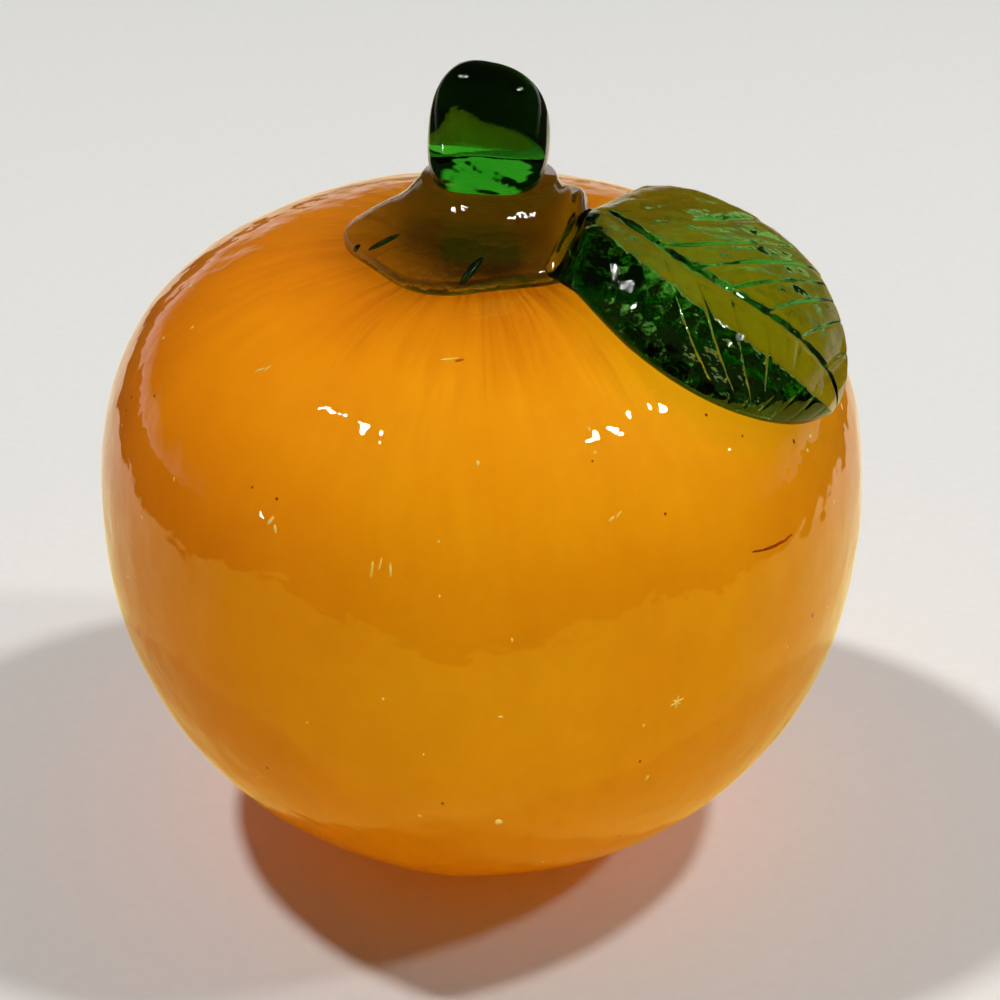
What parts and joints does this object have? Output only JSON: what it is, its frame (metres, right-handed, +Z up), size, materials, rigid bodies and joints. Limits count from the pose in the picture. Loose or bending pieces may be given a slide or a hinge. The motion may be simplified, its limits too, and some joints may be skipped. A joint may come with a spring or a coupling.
{
  "type": "paperweight",
  "caption": "Glass orange paperweight: a clear-cased orange glass fruit on a ground base, with an applied green glass calyx, stub stem and veined leaf.",
  "frame": {"origin": "centre of the ground base, on the surface that the paperweight stands on", "axes": "+Z up along the fruit's axis, -Y towards the viewer, and the leaf lies towards +X"},
  "size_m": [0.085, 0.085, 0.0903],
  "materials": {
    "opal_glass": "milky opal glass, ground flat on the base",
    "orange_glass": "opaque orange colour layer with darker streaks",
    "clear_glass": "fire-polished clear glass, slightly wavy",
    "green_glass": "fire-polished transparent green glass"
  },
  "bodies": {
    "root": {"opal_core": "opal_glass", "orange_layer": "orange_glass", "clear_casing": "clear_glass", "calyx": "green_glass", "stem": "green_glass", "leaf": "green_glass"}
  },
  "joints": []
}
